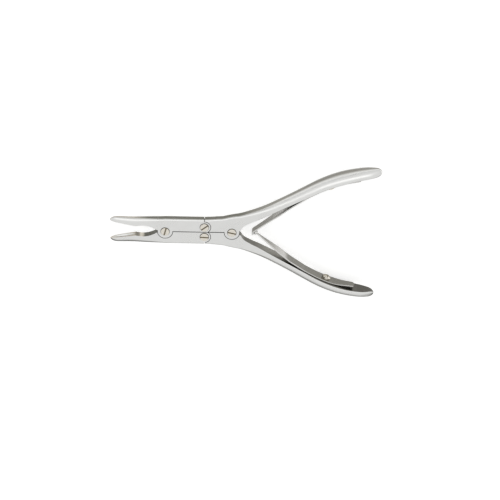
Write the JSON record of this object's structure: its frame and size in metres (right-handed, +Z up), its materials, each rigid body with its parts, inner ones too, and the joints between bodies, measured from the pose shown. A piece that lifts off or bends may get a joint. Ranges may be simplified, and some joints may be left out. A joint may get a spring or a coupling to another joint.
{
  "type": "bone rongeur",
  "caption": "Double-action bone rongeur: cupped jaws, half-lapped compound joint with slotted pivot screws, curved smooth handles and two leaf springs meeting in a ball and hook.",
  "frame": {"origin": "bottom centre of the bounding box, on the surface that the tool lies on with its jaws open", "axes": "+X from the jaw tips towards the handle ends, +Y across the tool towards the upper jaw and handle, +Z up out of the face that shows the screw heads"},
  "size_m": [0.1821, 0.1004, 0.0134],
  "materials": {
    "satin_steel": "satin-polished stainless steel",
    "screw_steel": "turned stainless steel",
    "spring_steel": "polished spring steel"
  },
  "bodies": {
    "lower_handle": {"lower_handle": "satin_steel", "rear_pivot_screw": "screw_steel", "lower_link_screw": "screw_steel", "lower_spring_screw": "screw_steel"},
    "upper_handle": {"upper_handle": "satin_steel", "upper_link_screw": "screw_steel", "upper_spring_screw": "screw_steel"},
    "lower_jaw": {"lower_jaw": "satin_steel", "front_pivot_screw": "screw_steel"},
    "upper_jaw": {"upper_jaw": "satin_steel"},
    "lower_spring": {"lower_leaf_spring": "spring_steel"},
    "upper_spring": {"upper_leaf_spring": "spring_steel"}
  },
  "joints": [
    {"name": "handle_pivot", "type": "hinge", "parent": "lower_handle", "child": "upper_handle", "pos_m": [-0.00832, 0, 0.0067], "axis": [0, 0, -1], "range_deg": [0, 29.13], "stiffness_Nm_per_rad": 4, "springref_deg": -6.88},
    {"name": "lower_link_pivot", "type": "hinge", "parent": "lower_handle", "child": "lower_jaw", "pos_m": [-0.02697, -0.00371, 0.0067], "axis": [0, 0, -1], "range_deg": [0, 24.6]},
    {"name": "jaw_pivot", "type": "hinge", "parent": "lower_jaw", "child": "upper_jaw", "pos_m": [-0.05362, 0, 0.0067], "axis": [0, 0, 1], "range_deg": [0, 20.03]},
    {"name": "lower_spring_flex", "type": "hinge", "parent": "lower_handle", "child": "lower_spring", "pos_m": [0.02837, -0.02085, 0.0067], "axis": [0, 0, 1], "range_deg": [0, 10.25], "deforming": ["lower_leaf_spring"]},
    {"name": "upper_spring_flex", "type": "hinge", "parent": "upper_handle", "child": "upper_spring", "pos_m": [0.02837, 0.02085, 0.0067], "axis": [0, 0, -1], "range_deg": [0, 7.55], "deforming": ["upper_leaf_spring"]}
  ],
  "couplings": [
    {"joint": "lower_link_pivot", "follows": "handle_pivot", "ratio": 0.84325},
    {"joint": "jaw_pivot", "follows": "handle_pivot", "ratio": 0.6865},
    {"joint": "lower_spring_flex", "follows": "handle_pivot", "ratio": 0.35018},
    {"joint": "upper_spring_flex", "follows": "handle_pivot", "ratio": 0.25739}
  ]
}
